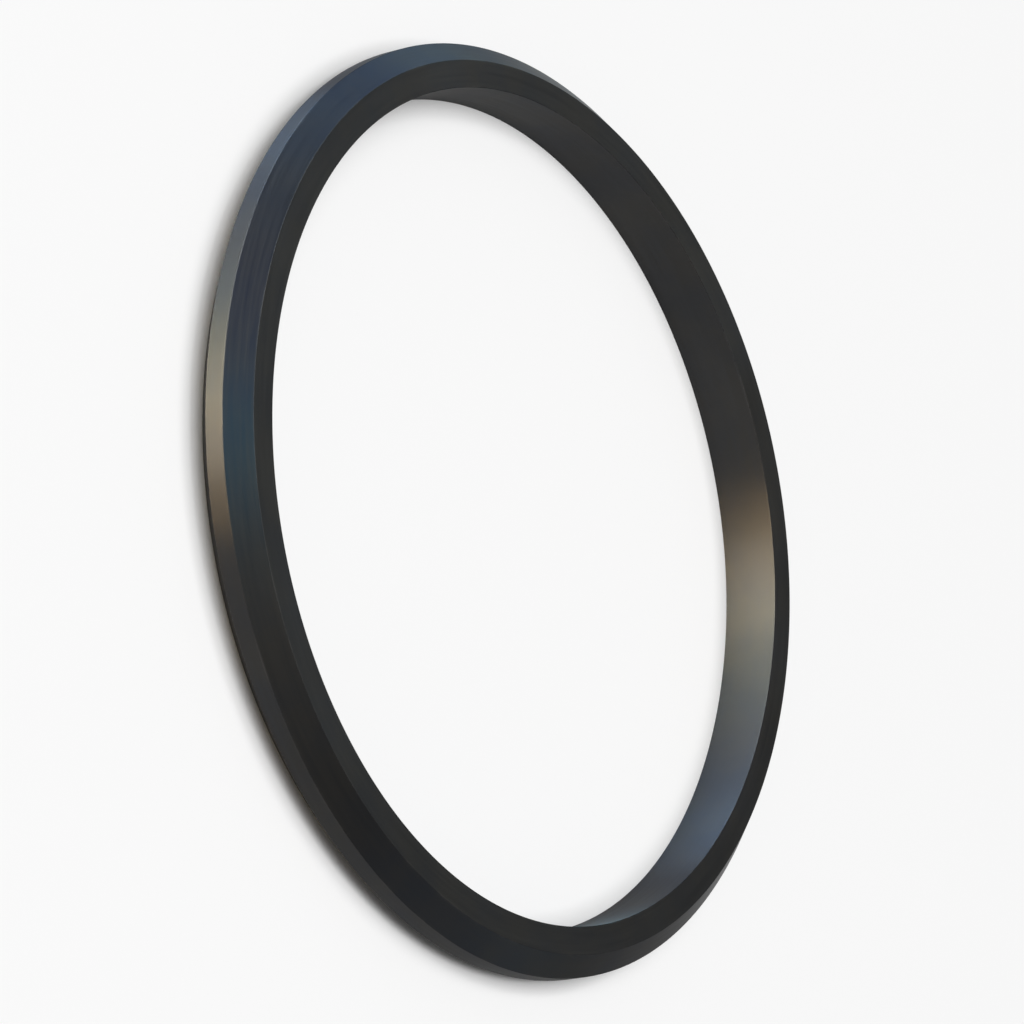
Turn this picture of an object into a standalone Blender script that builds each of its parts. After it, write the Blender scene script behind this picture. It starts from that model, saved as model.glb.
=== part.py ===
"""A seal ring, turned in one piece from steel and finished in black oxide.

The ring has a plain cylindrical bore, a flat sealing face on each side, and a narrow outer land
between two equal chamfers. It lies on its lower face: the origin is the centre of that face, and
the axis of the ring is +Z. Lengths are in metres.
"""

import math

import bmesh
import bpy

MM = 0.001

# The section of the ring, laid out from the bore outwards and from one face to the other.
BORE_DIAMETER = 60.0 * MM
FACE_WIDTH = 2.0 * MM  # the flat sealing face, measured along the radius
LAND_WIDTH = 1.4 * MM  # the outer cylinder between the chamfers, measured along the axis
CHAMFER_DEPTH = 1.5 * MM  # how far a chamfer cuts in along the radius
CHAMFER_ANGLE = math.radians(45.0)  # between the chamfer and the axis
EDGE_RADIUS = 0.02 * MM  # every edge is broken by this radius

# How finely the turned surfaces are divided, and where their shading breaks.
STEPS_ROUND = 180
STEPS_PER_EDGE = 2
SHARP_ANGLE = math.radians(15.0)  # a steeper turn between two facets is shaded as a sharp edge

# The finish.
BLACK_OXIDE_COLOUR = (0.073, 0.072, 0.072, 1.0)
BLACK_OXIDE_METALLIC = 1.0
BLACK_OXIDE_ROUGHNESS = 0.38


def clear_scene():
    """Removes every object that is in the scene when the script starts."""
    for old in list(bpy.data.objects):
        bpy.data.objects.remove(old, do_unlink=True)


def section_corners():
    """The six sharp corners of the section as (radius, height), anticlockwise from the bore."""
    bore_radius = BORE_DIAMETER / 2
    face_radius = bore_radius + FACE_WIDTH
    outside_radius = face_radius + CHAMFER_DEPTH
    chamfer_height = CHAMFER_DEPTH / math.tan(CHAMFER_ANGLE)
    land_bottom = chamfer_height
    land_top = land_bottom + LAND_WIDTH
    ring_width = land_top + chamfer_height
    return [
        (bore_radius, 0.0),
        (face_radius, 0.0),
        (outside_radius, land_bottom),
        (outside_radius, land_top),
        (face_radius, ring_width),
        (bore_radius, ring_width),
    ]


def broken_edge(before, corner, after):
    """The points of the arc that breaks one corner, touching the two sides that meet there."""
    to_before = math.atan2(before[1] - corner[1], before[0] - corner[0])
    to_after = math.atan2(after[1] - corner[1], after[0] - corner[0])
    inside_angle = (to_before - to_after) % math.tau
    turn = math.pi - inside_angle
    centre_distance = EDGE_RADIUS / math.sin(inside_angle / 2)
    bisector = to_after + inside_angle / 2
    centre_r = corner[0] + centre_distance * math.cos(bisector)
    centre_z = corner[1] + centre_distance * math.sin(bisector)
    first_angle = bisector + math.pi - turn / 2
    points = []
    for step in range(STEPS_PER_EDGE + 1):
        angle = first_angle + turn * step / STEPS_PER_EDGE
        r = centre_r + EDGE_RADIUS * math.cos(angle)
        z = centre_z + EDGE_RADIUS * math.sin(angle)
        points.append((r, z))
    return points


def section_outline():
    """The whole section as (radius, height) points, with its six edges broken."""
    corners = section_corners()
    outline = []
    for i, corner in enumerate(corners):
        before = corners[i - 1]
        after = corners[(i + 1) % len(corners)]
        outline.extend(broken_edge(before, corner, after))
    return outline


def turned_mesh(name, outline):
    """Spins a closed outline once round the Z axis, as a lathe would cut it."""
    turning = bmesh.new()
    ring = [turning.verts.new((r, 0.0, z)) for r, z in outline]
    edges = [turning.edges.new((ring[i - 1], ring[i])) for i in range(len(ring))]
    bmesh.ops.spin(
        turning,
        geom=ring + edges,
        cent=(0.0, 0.0, 0.0),
        axis=(0.0, 0.0, 1.0),
        angle=math.tau,
        steps=STEPS_ROUND,
        use_merge=True,
    )
    bmesh.ops.recalc_face_normals(turning, faces=turning.faces)
    mesh = bpy.data.meshes.new(name)
    turning.to_mesh(mesh)
    turning.free()
    mesh.shade_smooth()
    mesh.set_sharp_from_angle(angle=SHARP_ANGLE)
    return mesh


def black_oxide():
    """The dark satin finish of the whole ring."""
    material = bpy.data.materials.new("black_oxide")
    material.use_nodes = True
    shader = material.node_tree.nodes["Principled BSDF"]
    shader.inputs["Base Color"].default_value = BLACK_OXIDE_COLOUR
    shader.inputs["Metallic"].default_value = BLACK_OXIDE_METALLIC
    shader.inputs["Roughness"].default_value = BLACK_OXIDE_ROUGHNESS
    material.diffuse_color = BLACK_OXIDE_COLOUR
    return material


def seal_ring():
    """The one solid of the part."""
    mesh = turned_mesh("seal_ring", section_outline())
    mesh.materials.append(black_oxide())
    ring = bpy.data.objects.new("seal_ring", mesh)
    bpy.context.scene.collection.objects.link(ring)
    return ring


clear_scene()
seal_ring()
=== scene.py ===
# %% [markdown]
# A seal ring is a plain turned ring that closes the joint round a shaft or a pipe. This one has a
# smooth bore, a flat face on each side and a narrow outer land between two chamfers, and it is
# blackened all over.
#
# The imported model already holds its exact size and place. Everything here is built round that
# model, so the first step is to load it. The outside diameter and the width of the ring are read
# from its box and not typed again.

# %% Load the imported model
import math

import bpy
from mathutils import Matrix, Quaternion, Vector


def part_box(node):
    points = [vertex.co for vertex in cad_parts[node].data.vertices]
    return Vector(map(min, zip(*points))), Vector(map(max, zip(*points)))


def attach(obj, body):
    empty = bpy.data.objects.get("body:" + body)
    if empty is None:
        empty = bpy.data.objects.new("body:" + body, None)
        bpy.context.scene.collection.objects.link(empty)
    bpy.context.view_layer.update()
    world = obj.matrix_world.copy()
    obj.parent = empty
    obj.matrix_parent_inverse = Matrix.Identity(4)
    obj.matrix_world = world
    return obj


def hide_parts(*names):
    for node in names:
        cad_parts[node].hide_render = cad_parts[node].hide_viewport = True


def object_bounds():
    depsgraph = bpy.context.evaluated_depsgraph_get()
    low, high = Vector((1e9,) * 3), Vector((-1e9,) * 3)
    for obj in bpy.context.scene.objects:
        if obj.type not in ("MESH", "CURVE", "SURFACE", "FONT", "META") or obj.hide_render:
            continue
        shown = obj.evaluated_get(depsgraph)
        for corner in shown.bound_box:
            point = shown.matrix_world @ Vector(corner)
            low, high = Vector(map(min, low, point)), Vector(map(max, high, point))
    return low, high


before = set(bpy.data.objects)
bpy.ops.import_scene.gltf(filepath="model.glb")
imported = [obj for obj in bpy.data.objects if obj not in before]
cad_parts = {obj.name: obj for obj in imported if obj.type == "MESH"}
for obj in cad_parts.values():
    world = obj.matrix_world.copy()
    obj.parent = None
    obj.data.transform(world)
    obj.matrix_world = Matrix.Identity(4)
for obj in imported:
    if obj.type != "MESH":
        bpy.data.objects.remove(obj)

MM = 0.001

model_low, model_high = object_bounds()
ring_low, ring_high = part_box("seal_ring")
outside_diameter = ring_high.x - ring_low.x
ring_width = ring_high.z - ring_low.z
print(f"the model measures {outside_diameter / MM:.2f} mm across and {ring_width / MM:.2f} mm high")

# %% [markdown]
# Two kinds of node tree are used below: a geometry tree that turns the ring, and a shader tree that
# colours it. Both take the same Math nodes, so one small pair of helpers serves both. A Field
# stands for one output socket, and adding or multiplying Fields adds the Math node that does it,
# which keeps a formula readable as a formula.
#
# Every other node comes from Nodes.add. It sets the node's own settings first, because some
# settings change which sockets a node has, and then fills its inputs with values or links.

# %% A notation for node trees
class Field:
    """One output socket. Arithmetic on it adds Math nodes to its tree."""

    def __init__(self, nodes, socket):
        self.nodes = nodes
        self.socket = socket

    def __add__(self, other):
        return self.nodes.math("ADD", self, other)

    def __radd__(self, other):
        return self.nodes.math("ADD", other, self)

    def __sub__(self, other):
        return self.nodes.math("SUBTRACT", self, other)

    def __mul__(self, other):
        return self.nodes.math("MULTIPLY", self, other)

    def __rmul__(self, other):
        return self.nodes.math("MULTIPLY", other, self)

    def __truediv__(self, other):
        return self.nodes.math("DIVIDE", self, other)


class Nodes:
    """Adds nodes to one tree."""

    def __init__(self, tree):
        self.tree = tree

    def add(self, kind, settings=None, inputs=None, output=0):
        """A node of that kind, as the Field of one of its outputs if it has any."""
        node = self.tree.nodes.new(kind)
        for name, value in (settings or {}).items():
            setattr(node, name, value)
        for key, value in (inputs or {}).items():
            self.fill(node.inputs[key], value)
        return Field(self, node.outputs[output]) if node.outputs else None

    def fill(self, socket, value):
        """Links a Field to a socket, or sets the socket to a plain value."""
        if isinstance(value, Field):
            self.tree.links.new(value.socket, socket)
        else:
            socket.default_value = value

    def math(self, operation, *values):
        """A Math node on one or two values."""
        return self.add("ShaderNodeMath", {"operation": operation}, dict(enumerate(values)))

    def outputs_beside(self, field):
        """Every output of the node that a Field comes from, by name."""
        return {s.name: Field(self, s) for s in field.socket.node.outputs}


print("arithmetic on Field adds Math nodes")

# %% [markdown]
# The ring is a turned part, so its shape follows a rule: one small section, carried once round the
# axis. It could be modelled by hand as a cylinder with loops cut into it, but then its sizes would
# be frozen into the vertices.
#
# A geometry tree keeps the rule, and the rule needs only a few sizes. The outside diameter and the
# width come from the model. The flat face and the 45 degree chamfer are laid off inwards from
# there, and what is left is the bore and the land. The edges are only just broken: a larger radius
# would draw a light line along them, and the photograph has none.

# %% Sizes of the section
FACE_WIDTH = 2.0 * MM
CHAMFER_DEPTH = 1.5 * MM
EDGE_RADIUS = 0.02 * MM

outside_radius = outside_diameter / 2
face_radius = outside_radius - CHAMFER_DEPTH
bore_radius = face_radius - FACE_WIDTH
land_width = ring_width - 2 * CHAMFER_DEPTH
print(f"bore {2 * bore_radius / MM:.2f} mm, outer land {land_width / MM:.2f} mm wide")

# %% [markdown]
# Every size is a named input of the tree, so the same tree would turn a narrower ring or one with a
# deeper chamfer. The inputs belong to the tree's interface and are declared there before a node can
# read them. The steps round are many, because the ring fills the picture and its outline has to
# stay a clean curve.

# %% Inputs of the turning tree
STEPS_ROUND = 720
STEPS_PER_EDGE = 5
RING_SIZES = {
    "Bore Radius": bore_radius,
    "Face Width": FACE_WIDTH,
    "Chamfer Depth": CHAMFER_DEPTH,
    "Ring Width": ring_width,
    "Edge Radius": EDGE_RADIUS,
}
RING_COUNTS = {"Steps Round": STEPS_ROUND, "Steps Per Edge": STEPS_PER_EDGE}


def declare_sockets(tree):
    """The tree's output, and a named input for each size and count and for the finish."""
    tree.interface.new_socket("Geometry", in_out="OUTPUT", socket_type="NodeSocketGeometry")
    for name in RING_SIZES:
        tree.interface.new_socket(name, in_out="INPUT", socket_type="NodeSocketFloat")
    for name in RING_COUNTS:
        tree.interface.new_socket(name, in_out="INPUT", socket_type="NodeSocketInt")
    tree.interface.new_socket("Finish", in_out="INPUT", socket_type="NodeSocketMaterial")


print(f"{len(RING_SIZES)} sizes and {len(RING_COUNTS)} counts go into the tree")

# %% [markdown]
# The section starts as a line of six points. Index Switch sends each point to its own corner, the
# line becomes a closed curve, and Fillet Curve breaks its corners. The sweep that follows takes the
# X of a section outwards and its Y downwards, so the heights go in with their sign turned.

# %% The section as a curve
def section_corner(nodes, corners):
    """For each point of a line, the corner with the same number, as a position."""
    choice = nodes.add("GeometryNodeIndexSwitch", {"data_type": "VECTOR"})
    node = choice.socket.node
    while len(node.index_switch_items) < len(corners):
        node.index_switch_items.new()
    nodes.fill(node.inputs["Index"], nodes.add("GeometryNodeInputIndex"))
    for i, (out, up) in enumerate(corners):
        place = nodes.add("ShaderNodeCombineXYZ", {}, {"X": out, "Y": -1.0 * up})
        nodes.fill(node.inputs[str(i)], place)
    return choice


def section_curve(nodes, given):
    """The closed outline of the section, measured outwards from the bore and up from the floor."""
    face_edge = given["Face Width"]
    outside = face_edge + given["Chamfer Depth"]
    land_bottom = given["Chamfer Depth"]
    top = given["Ring Width"]
    land_top = top - land_bottom
    corners = [
        (0.0, 0.0),
        (face_edge, 0.0),
        (outside, land_bottom),
        (outside, land_top),
        (face_edge, top),
        (0.0, top),
    ]
    line = nodes.add("GeometryNodeMeshLine", {}, {"Count": len(corners)})
    position = section_corner(nodes, corners)
    placed = nodes.add("GeometryNodeSetPosition", {}, {"Geometry": line, "Position": position})
    opened = nodes.add("GeometryNodeMeshToCurve", {}, {"Mesh": placed})
    closed = nodes.add("GeometryNodeSetSplineCyclic", {}, {"Geometry": opened, "Cyclic": True})
    broken = {"Curve": closed, "Radius": given["Edge Radius"], "Count": given["Steps Per Edge"]}
    return nodes.add("GeometryNodeFilletCurve", {"mode": "POLY"}, broken)


section_width = outside_radius - bore_radius
print(f"the section is {section_width / MM:.2f} mm wide and {ring_width / MM:.2f} mm high")

# %% [markdown]
# Curve to Mesh carries the section round a circle of the bore's size, as a lathe does with its
# tool. The result is shaded smooth, made plain geometry by Realize Instances, and given its finish.

# %% The tree that turns a ring
def ring_tree():
    """The geometry tree that turns a ring from its sizes."""
    tree = bpy.data.node_groups.new("turned_ring", "GeometryNodeTree")
    tree.is_modifier = True
    declare_sockets(tree)
    nodes = Nodes(tree)
    given = nodes.outputs_beside(nodes.add("NodeGroupInput"))
    section = section_curve(nodes, given)
    bore_circle = nodes.add(
        "GeometryNodeCurvePrimitiveCircle",
        {},
        {"Resolution": given["Steps Round"], "Radius": given["Bore Radius"]},
    )
    path = {"Curve": bore_circle, "Profile Curve": section}
    swept = nodes.add("GeometryNodeCurveToMesh", {}, path)
    smooth = nodes.add("GeometryNodeSetShadeSmooth", {}, {"Geometry": swept})
    whole = nodes.add("GeometryNodeRealizeInstances", {}, {"Geometry": smooth})
    dressed = {"Geometry": whole, "Material": given["Finish"]}
    finished = nodes.add("GeometryNodeSetMaterial", {}, dressed)
    nodes.add("NodeGroupOutput", {}, {"Geometry": finished})
    return tree


ring_rule = ring_tree()
print(f"the turning tree has {len(ring_rule.nodes)} nodes")

# %% [markdown]
# Black oxide is a skin about a thousandth of a millimetre thick, grown on the steel itself in a hot
# salt bath. It is not a paint: the light still meets metal, only much darker, and the skin follows
# every mark that the machining left.
#
# Nearly all of that detail is arranged round the axis, so the material needs to know where a point
# lies on the ring. The object's own coordinates give that, and the distance from the axis follows
# from two of them. They come in metres and are turned into millimetres here, once for all.

# %% Where a point lies on the ring
def ring_place(nodes):
    """The direction round the axis as two numbers, the height and the radius, in millimetres."""
    here = nodes.add("ShaderNodeTexCoord", output="Object")
    scaled = {"Vector": here, "Scale": 1 / MM}
    place = nodes.add("ShaderNodeVectorMath", {"operation": "SCALE"}, scaled)
    part = nodes.outputs_beside(nodes.add("ShaderNodeSeparateXYZ", {}, {"Vector": place}))
    radius = nodes.math("SQRT", part["X"] * part["X"] + part["Y"] * part["Y"])
    return part["X"] / radius, part["Y"] / radius, part["Z"], radius


def vector(nodes, x, y, z):
    """Three numbers as one vector."""
    return nodes.add("ShaderNodeCombineXYZ", {}, {"X": x, "Y": y, "Z": z})


def between(nodes, value, low, high, at_low=0.0, at_high=1.0):
    """Takes a value from one range to another, smoothly and with nothing beyond the ends."""
    return nodes.add(
        "ShaderNodeMapRange",
        {"interpolation_type": "SMOOTHSTEP"},
        {"Value": value, "From Min": low, "From Max": high, "To Min": at_low, "To Max": at_high},
    )


round_land = math.tau * outside_radius / MM
round_bore = math.tau * bore_radius / MM
print(f"once round the land is {round_land:.0f} mm, once round the bore {round_bore:.0f} mm")

# %% [markdown]
# A cutting tool or a grinding wheel goes round the ring, so it draws each mark at one radius and
# one height. The pattern is a noise in four dimensions: height and radius change it within a
# fraction of a millimetre, while the direction round the axis changes it slowly, so that a mark
# runs for about a centimetre before it fades. One such noise serves the faces, the chamfers and
# both cylinders, with no seam where they meet.

# %% Marks that run round the ring
# the pitch is in millimetres, as the place of a point is
MARK_PITCH = 0.16
MARK_DRIFT = 5.0
MARK_DETAIL = 2.0
MARK_FINE_SHARE = 0.6


def machining_marks(nodes, place):
    """Fine marks round the axis, from 0 to 1."""
    round_x, round_y, height, radius = place
    spot = vector(nodes, round_x * MARK_DRIFT, round_y * MARK_DRIFT, height / MARK_PITCH)
    return nodes.add(
        "ShaderNodeTexNoise",
        {"noise_dimensions": "4D"},
        {
            "Vector": spot,
            "W": radius / MARK_PITCH,
            "Scale": 1.0,
            "Detail": MARK_DETAIL,
            "Roughness": MARK_FINE_SHARE,
        },
    )


print(f"about {FACE_WIDTH / MM / MARK_PITCH:.0f} marks cross the flat face")

# %% [markdown]
# The bath doesn't blacken quite evenly. Its patches are a few millimetres long, a little warmer
# where the skin is thin and a little cooler where it is thick. Larger and fainter are the smears
# that oil and fingers leave, which change how sharp a reflection is and not its colour. Both are
# plain noise in three dimensions, taken from the same coordinates.

# %% Patches of the bath and smears of oil
PATCH_SIZE = 3.5
PATCH_DETAIL = 3.0
SMEAR_SIZE = 11.0
SMEAR_DETAIL = 1.0
CLOUD_FINE_SHARE = 0.55


def patches(nodes, place, size, detail):
    """Cloudy patches of about that size, from 0 to 1."""
    round_x, round_y, height, radius = place
    spot = vector(nodes, round_x * radius, round_y * radius, height)
    return nodes.add(
        "ShaderNodeTexNoise",
        {"noise_dimensions": "3D"},
        {"Vector": spot, "Scale": 1 / size, "Detail": detail, "Roughness": CLOUD_FINE_SHARE},
    )


print(f"patches of {PATCH_SIZE} mm and smears of {SMEAR_SIZE} mm")

# %% [markdown]
# Handling rubs the skin thin on the broken edges first. The distance to an edge is worked out in
# the section, from the radius and from the height above or below the middle plane, so one sum
# serves the upper and the lower edge of a pair. The rub is 1 on an edge and fades out beside it.

# %% Where the edges are rubbed
RUB_REACH = 0.17


def edge_rub(nodes, place):
    """1 on the broken edges, falling to 0 a little way from them."""
    _, _, height, radius = place
    middle = ring_width / MM / 2
    above_middle = nodes.math("ABSOLUTE", height - middle)
    rub = 0.0
    for edge_radius, edge_height in (
        (bore_radius, ring_width / 2),
        (face_radius, ring_width / 2),
        (outside_radius, land_width / 2),
    ):
        out = radius - edge_radius / MM
        up = above_middle - edge_height / MM
        away = nodes.math("SQRT", out * out + up * up)
        rub = rub + between(nodes, away, 0.0, RUB_REACH, 1.0, 0.0)
    return rub


print(f"the rub reaches {RUB_REACH} mm from an edge, which is broken by {EDGE_RADIUS / MM:.2f} mm")

# %% [markdown]
# The skin moves between a cool and a warm black with the patches and, a little, with the marks.
# Where an edge is rubbed the steel begins to show through. That stays patchy and faint, because the
# photograph shows no bright edges. These are colours of a metal, so each says how much light comes
# back in a reflection.
#
# A Mix node has sockets of one name for each type of data, so its colour sockets go by number.

# %% The colour of the skin
OXIDE_COOL = (0.069, 0.070, 0.073, 1.0)
OXIDE_WARM = (0.077, 0.075, 0.072, 1.0)
OXIDE_RUBBED = (0.200, 0.190, 0.180, 1.0)
MARKS_IN_SKIN = 0.3
SKIN_RANGE = (0.35, 0.65)
RUBBED_RANGE = (0.45, 0.7)
RUB_STRENGTH = 0.15
MIX_SHARE, MIX_FIRST, MIX_SECOND, MIX_RESULT = 0, 6, 7, 2


def mix_colours(nodes, share, first, second):
    """The first colour where the share is 0, the second where it is 1."""
    return nodes.add(
        "ShaderNodeMix",
        {"data_type": "RGBA"},
        {MIX_SHARE: share, MIX_FIRST: first, MIX_SECOND: second},
        output=MIX_RESULT,
    )


def skin_colour(nodes, bath, marks, rub):
    """Cool or warm black, and lighter where an edge is rubbed."""
    blend = bath * (1 - MARKS_IN_SKIN) + marks * MARKS_IN_SKIN
    blackened = mix_colours(nodes, between(nodes, blend, *SKIN_RANGE), OXIDE_COOL, OXIDE_WARM)
    rubbed = rub * between(nodes, bath, *RUBBED_RANGE) * RUB_STRENGTH
    return mix_colours(nodes, rubbed, blackened, OXIDE_RUBBED)


print(f"the skin reflects {100 * OXIDE_COOL[1]:.1f} to {100 * OXIDE_WARM[1]:.1f} % of the light")

# %% [markdown]
# The bore and the land are cylinders, and in the photograph each carries a narrow light band, which
# the face and the chamfer between them lack. Ground cylinders look like that: the marks round them
# draw a lamp's reflection out along the axis, while the faces and the chamfers reflect evenly. So
# the finish is two metal shaders with one colour and one set of marks.
#
# An unlinked tangent runs round the object's Z axis, and a quarter turn lays the stretch along it.

# %% A metal that can stretch its reflections
EVEN_ROUGHNESS = 0.34
EVEN_GRAZING = (0.45, 0.45, 0.45, 1.0)
EVEN_STRETCH = 0.0
GROUND_ROUGHNESS = 0.45
GROUND_GRAZING = (0.75, 0.75, 0.75, 1.0)
GROUND_STRETCH = 1.0
QUARTER_TURN = 0.25


def metal(nodes, colour, roughness, normal, grazing, stretch):
    """One metal shader. A stretch above 0 draws reflections out along the axis of the ring."""
    return nodes.add(
        "ShaderNodeBsdfPrincipled",
        {},
        {
            "Base Color": colour,
            "Metallic": 1.0,
            "Roughness": roughness,
            "Normal": normal,
            "Specular Tint": grazing,
            "Anisotropic": stretch,
            "Anisotropic Rotation": QUARTER_TURN,
        },
    )


print(f"roughness {EVEN_ROUGHNESS} on the flats, {GROUND_ROUGHNESS} on the bore and the land")

# %% [markdown]
# Now the finish comes together. The marks lift the surface by about a thousandth of a millimetre,
# which is enough to break a reflection a little, and with the smears they vary its sharpness. A
# mask by radius lays the stretching metal on the bore and the land and the even one everywhere
# else. The two shader sockets of a Mix Shader share a name, so they go by number too.

# %% The blackened finish
# the Bump node takes its depth in metres
MARK_DEPTH = 0.0012 * MM
MARKS_IN_ROUGHNESS = 0.12
SMEARS_IN_ROUGHNESS = 0.08
NOISE_MIDDLE = 0.5
MASK_START = 0.02
MASK_END = 0.05


def on_cylinders(nodes, radius):
    """1 on the bore and on the land, 0 on the faces and the chamfers."""
    bore = bore_radius / MM
    land = outside_radius / MM
    in_bore = between(nodes, radius, bore + MASK_START, bore + MASK_END, 1.0, 0.0)
    on_land = between(nodes, radius, land - MASK_END, land - MASK_START)
    return in_bore + on_land


def black_oxide():
    """The finish of the whole ring."""
    material = bpy.data.materials.new("black_oxide")
    material.use_nodes = True
    material.node_tree.nodes.clear()
    nodes = Nodes(material.node_tree)
    place = ring_place(nodes)
    marks = machining_marks(nodes, place)
    bath = patches(nodes, place, PATCH_SIZE, PATCH_DETAIL)
    smears = patches(nodes, place, SMEAR_SIZE, SMEAR_DETAIL)
    colour = skin_colour(nodes, bath, marks, edge_rub(nodes, place))
    normal = nodes.add("ShaderNodeBump", {}, {"Distance": MARK_DEPTH, "Height": marks})

    by_marks = (marks - NOISE_MIDDLE) * MARKS_IN_ROUGHNESS
    uneven = by_marks + (smears - NOISE_MIDDLE) * SMEARS_IN_ROUGHNESS
    flat_roughness = uneven + EVEN_ROUGHNESS
    even = metal(nodes, colour, flat_roughness, normal, EVEN_GRAZING, EVEN_STRETCH)
    round_roughness = uneven + GROUND_ROUGHNESS
    ground = metal(nodes, colour, round_roughness, normal, GROUND_GRAZING, GROUND_STRETCH)

    _, _, _, radius = place
    parts = {"Fac": on_cylinders(nodes, radius), 1: even, 2: ground}
    whole = nodes.add("ShaderNodeMixShader", {}, parts)
    nodes.add("ShaderNodeOutputMaterial", {}, {"Surface": whole})
    return material


finish = black_oxide()
print(f"the finish has {len(finish.node_tree.nodes)} nodes")

# %% [markdown]
# The tree now runs on an empty carrier object. A modifier input is set by its socket identifier,
# because names need not be unique, and all of them are set before Blender evaluates the object for
# the first time.
#
# The broken edges meet the flats at a small angle, and plain smooth shading would spread that angle
# across the flats as a false bulge. Weighted normals let the large flats keep their own direction.
# The result becomes a plain mesh, which rides on the model's one body in place of its node.

# %% Turn the ring
def turned_ring(name, tree, values):
    """A plain mesh object, made by running the tree with these values."""
    carrier = bpy.data.objects.new("carrier", bpy.data.meshes.new("carrier"))
    bpy.context.scene.collection.objects.link(carrier)
    turning = carrier.modifiers.new("turning", "NODES")
    turning.node_group = tree
    for item in tree.interface.items_tree:
        if item.in_out == "INPUT":
            turning[item.identifier] = values[item.name]
    weighting = carrier.modifiers.new("weighting", "WEIGHTED_NORMAL")
    weighting.mode = "FACE_AREA"
    seen = carrier.evaluated_get(bpy.context.evaluated_depsgraph_get())
    mesh = bpy.data.meshes.new_from_object(seen)
    mesh.name = name
    bpy.data.objects.remove(carrier, do_unlink=True)
    piece = bpy.data.objects.new(name, mesh)
    bpy.context.scene.collection.objects.link(piece)
    return piece


ring_values = {**RING_SIZES, **RING_COUNTS, "Finish": finish}
ring = turned_ring("turned_seal_ring", ring_rule, ring_values)
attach(ring, "root")
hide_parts("seal_ring")
print(f"the turned ring has {len(ring.data.polygons)} faces")

# %% [markdown]
# The ring lies on a plain pale floor, at the height of its lower face. The floor does two jobs: it
# is the white of the picture, and it is what the lower half of the steel mirrors, which a plain
# background could not be. It is matt paper white with no sheen, and it takes the soft shadow that
# shows that the ring rests there. It is so wide that its edge stays out of the picture.

# %% The floor
FLOOR_SIDE = 6.0
FLOOR_COLOUR = (0.95, 0.95, 0.95, 1.0)
FLOOR_ROUGHNESS = 0.9
FLOOR_SHEEN = 0.0


def pale_floor():
    """A square of plain matt floor at the height that the ring rests on."""
    half = FLOOR_SIDE / 2
    sides = ((-half, -half), (half, -half), (half, half), (-half, half))
    mesh = bpy.data.meshes.new("floor")
    mesh.from_pydata([(x, y, model_low.z) for x, y in sides], [], [(0, 1, 2, 3)])
    material = bpy.data.materials.new("pale_floor")
    material.use_nodes = True
    shader = material.node_tree.nodes["Principled BSDF"]
    shader.inputs["Base Color"].default_value = FLOOR_COLOUR
    shader.inputs["Roughness"].default_value = FLOOR_ROUGHNESS
    shader.inputs["Specular IOR Level"].default_value = FLOOR_SHEEN
    mesh.materials.append(material)
    plane = bpy.data.objects.new("floor", mesh)
    bpy.context.scene.collection.objects.link(plane)
    return plane


floor = pale_floor()
print(f"the floor is {FLOOR_SIDE / outside_diameter:.0f} times as wide as the ring")

# %% [markdown]
# Blackened metal has hardly any colour of its own. What one sees on it is the studio that it
# mirrors, so the lamps are part of its looks, as much as the finish is. All of them are area lamps
# on one dome round the ring, and each is turned to face it. Left and right are meant here as seen
# by someone who stands at the camera.
#
# A studio keeps a lamp off the table with flags. Here a collection does so: a lamp that has one as
# its receiver lights only what is in it.

# %% A lamp on the dome
LAMP_DISTANCE = 3.0


def softbox(name, azimuth, elevation, size, colour, strength, lights):
    """An area lamp for one group of objects. Azimuth turns from +X towards +Y, in degrees."""
    lamp = bpy.data.lights.new(name, "AREA")
    lamp.shape = "RECTANGLE"
    lamp.size, lamp.size_y = size
    lamp.color = colour
    lamp.energy = strength
    holder = bpy.data.objects.new(name, lamp)
    a = math.radians(azimuth)
    e = math.radians(elevation)
    away = Vector((math.cos(a) * math.cos(e), math.sin(a) * math.cos(e), math.sin(e)))
    holder.location = away * LAMP_DISTANCE
    holder.rotation_mode = "QUATERNION"
    holder.rotation_quaternion = away.to_track_quat("Z", "Y")
    holder.light_linking.receiver_collection = lights
    bpy.context.scene.collection.objects.link(holder)
    return holder


def receivers(name, thing):
    """A collection that limits lamps to one object."""
    group = bpy.data.collections.new(name)
    group.objects.link(thing)
    return group


ring_only = receivers("ring_only", ring)
floor_only = receivers("floor_only", floor)
print(f"the lamps stand {LAMP_DISTANCE} m from the ring")

# %% [markdown]
# Four lamps are large. The ring and the floor each have an overhead light and a second light of
# their own. The ring's second one, the key, stands high on the far left, so that the flat face
# catches only the edge of its reflection. The floor's stands beside the camera, from where the
# shadow falls behind the ring and leaves its near outline clean.
#
# The floor's lamps are set so that it comes out at its own colour, just short of white. The ring's
# overhead light is weaker: seen from above the face mirrors it, and should still be a dark grey.

# %% The large lamps
WHITE = (1.0, 1.0, 1.0)
# name, azimuth and elevation in degrees, sides in metres, colour, strength in watts, what it lights
LARGE_LAMPS = (
    ("overhead", 0.0, 90.0, (2.2, 2.2), WHITE, 25.0, ring_only),
    ("key", 135.0, 57.0, (1.4, 1.4), (0.82, 0.93, 0.98), 53.0, ring_only),
    ("floor_overhead", 0.0, 90.0, (2.2, 2.2), WHITE, 55.5, floor_only),
    ("floor_light", 250.0, 55.0, (1.4, 1.4), WHITE, 36.5, floor_only),
)
for lamp in LARGE_LAMPS:
    softbox(*lamp)
print(f"{len(LARGE_LAMPS)} large lamps")

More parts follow.
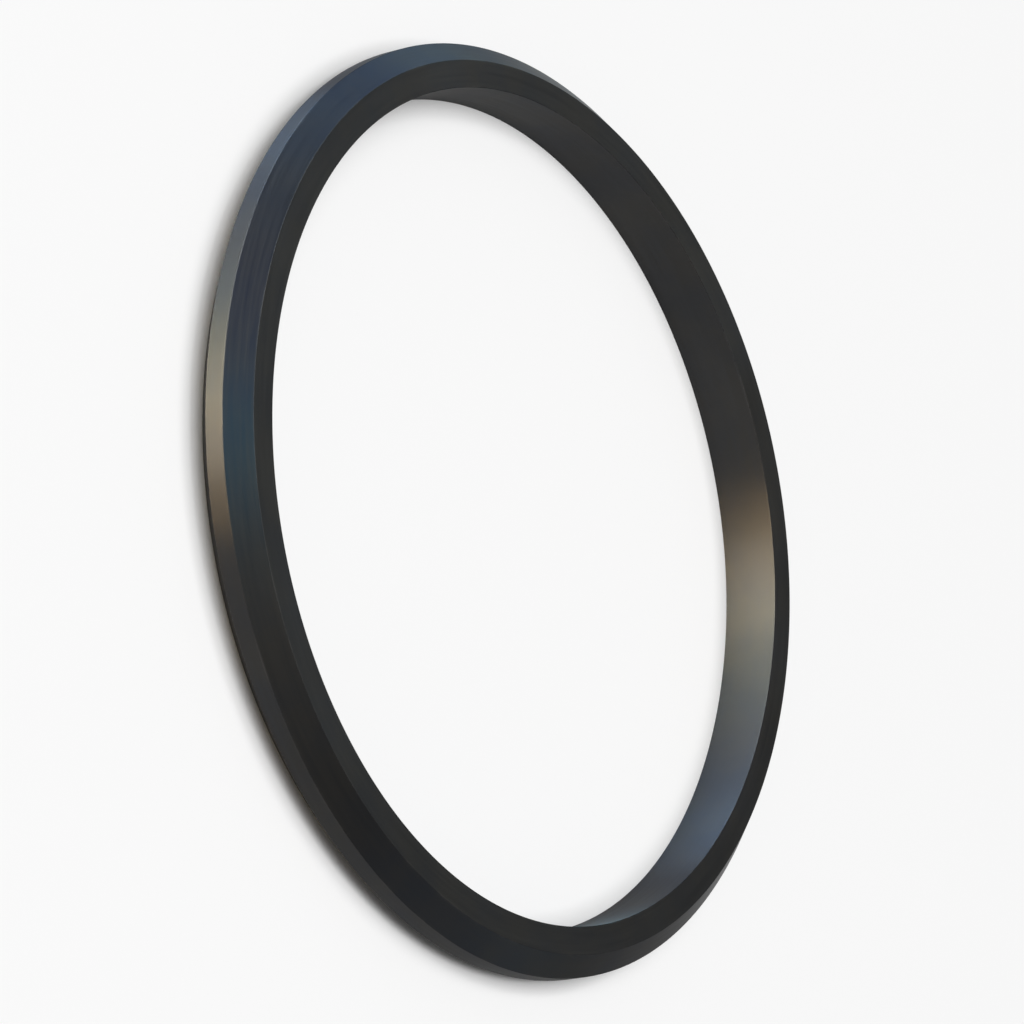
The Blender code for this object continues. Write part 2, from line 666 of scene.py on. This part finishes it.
# %% [markdown]
# The light bands on the bore and the land come from low down. In the photograph they are amber in
# the middle and turn through grey to slate blue, without a gap, so the lamps behind them are a row
# of strips just above the floor. A strip spans 24 degrees and most stand only 12 degrees apart, so
# their colours run into one another, as on one long panel.
#
# Lamps that low would stain the floor and throw long shadows over it, so they light the ring alone.
#
# So many colours are hard to choose by eye. Light adds up, so each lamp was rendered on its own,
# and least squares on the colours in the photograph gave the shares. A few were then changed one by
# one.

# %% The row of low strips
STRIP_ELEVATION = 5.0
STRIP_SIZE = (1.28, 0.44)
# azimuth in degrees, colour, strength in watts
STRIPS = (
    (250.0, (1.0, 0.67, 0.32), 38.5),
    (238.0, (1.0, 0.87, 0.64), 69.0),
    (226.0, (1.0, 0.96, 0.74), 46.5),
    (214.0, (0.89, 1.0, 0.90), 25.5),
    (202.0, (0.81, 0.90, 1.0), 20.0),
    (190.0, (0.65, 0.79, 1.0), 14.0),
    (178.0, (0.43, 0.64, 1.0), 15.0),
    (166.0, (0.38, 0.63, 1.0), 27.5),
    (154.0, (0.10, 0.30, 1.0), 2.7),
    (130.0, (0.37, 0.61, 1.0), 4.2),
    (118.0, (0.34, 0.75, 1.0), 14.0),
    (94.0, (1.0, 0.88, 0.70), 20.0),
)
for azimuth, colour, strength in STRIPS:
    name = f"strip_{azimuth:.0f}"
    softbox(name, azimuth, STRIP_ELEVATION, STRIP_SIZE, colour, strength, ring_only)
print(f"{len(STRIPS)} strips stand {STRIP_ELEVATION} degrees above the floor")

# %% [markdown]
# Four dim panels fill in what the chamfers mirror, and they too light the ring alone. The two blue
# ones on the left give the near chamfer its cool tone, and the two on the right keep the ring's
# right end from going black. A faint even light from all round stands for the walls of the room.

# %% The dim panels and the room
# name, azimuth and elevation in degrees, sides in metres, colour, strength in watts
PANELS = (
    ("left_panel", 240.0, 44.0, (1.2, 1.0), (0.0, 0.57, 1.0), 4.2),
    ("far_left_panel", 203.0, 45.0, (2.0, 0.9), (0.0, 0.20, 1.0), 2.5),
    ("right_panel", 11.0, 24.0, (2.2, 1.3), (0.50, 0.68, 1.0), 1.4),
    ("far_right_panel", 40.0, 16.0, (1.4, 0.9), (0.75, 0.92, 1.0), 1.5),
)
for panel in PANELS:
    softbox(*panel, ring_only)

ROOM_LIGHT = 0.15
world = bpy.data.worlds.new("studio")
world.use_nodes = True
room = world.node_tree.nodes["Background"]
room.inputs["Color"].default_value = (*WHITE, 1.0)
room.inputs["Strength"].default_value = ROOM_LIGHT
bpy.context.scene.world = world

# %% [markdown]
# The camera looks at the ring from the angle of the photograph: about 35 degrees above the plane of
# the ring, through a long lens, and turned on its side by most of a right angle, which is what
# makes a lying ring seem to stand.

# %% The camera
# the lens and the sensor are in millimetres, as Blender takes them
LENS = 198.6
SENSOR = 36.0
VIEW_DISTANCE = 396.9 * MM
VIEW_ELEVATION = math.radians(34.965)
VIEW_ROLL = math.radians(79.06)
AIM_ASIDE = 0.19 * MM
AIM_NEARER = 3.38 * MM


def photo_camera():
    """The camera of the photograph, aimed at a point on the level of the upper face."""
    data = bpy.data.cameras.new("photo_camera")
    data.lens = LENS
    data.sensor_width = SENSOR
    camera = bpy.data.objects.new("photo_camera", data)
    aim = Vector((AIM_ASIDE, -AIM_NEARER, model_high.z))
    back = Vector((0.0, -math.cos(VIEW_ELEVATION), math.sin(VIEW_ELEVATION)))
    camera.location = aim + back * VIEW_DISTANCE
    camera.rotation_mode = "QUATERNION"
    upright = back.to_track_quat("Z", "Y")
    camera.rotation_quaternion = upright @ Quaternion((0.0, 0.0, 1.0), VIEW_ROLL)
    bpy.context.scene.collection.objects.link(camera)
    return camera


bpy.context.scene.camera = photo_camera()
bpy.context.scene.view_settings.view_transform = "Standard"
print(f"the camera sees {VIEW_DISTANCE * SENSOR / LENS / MM:.0f} mm across at the ring")
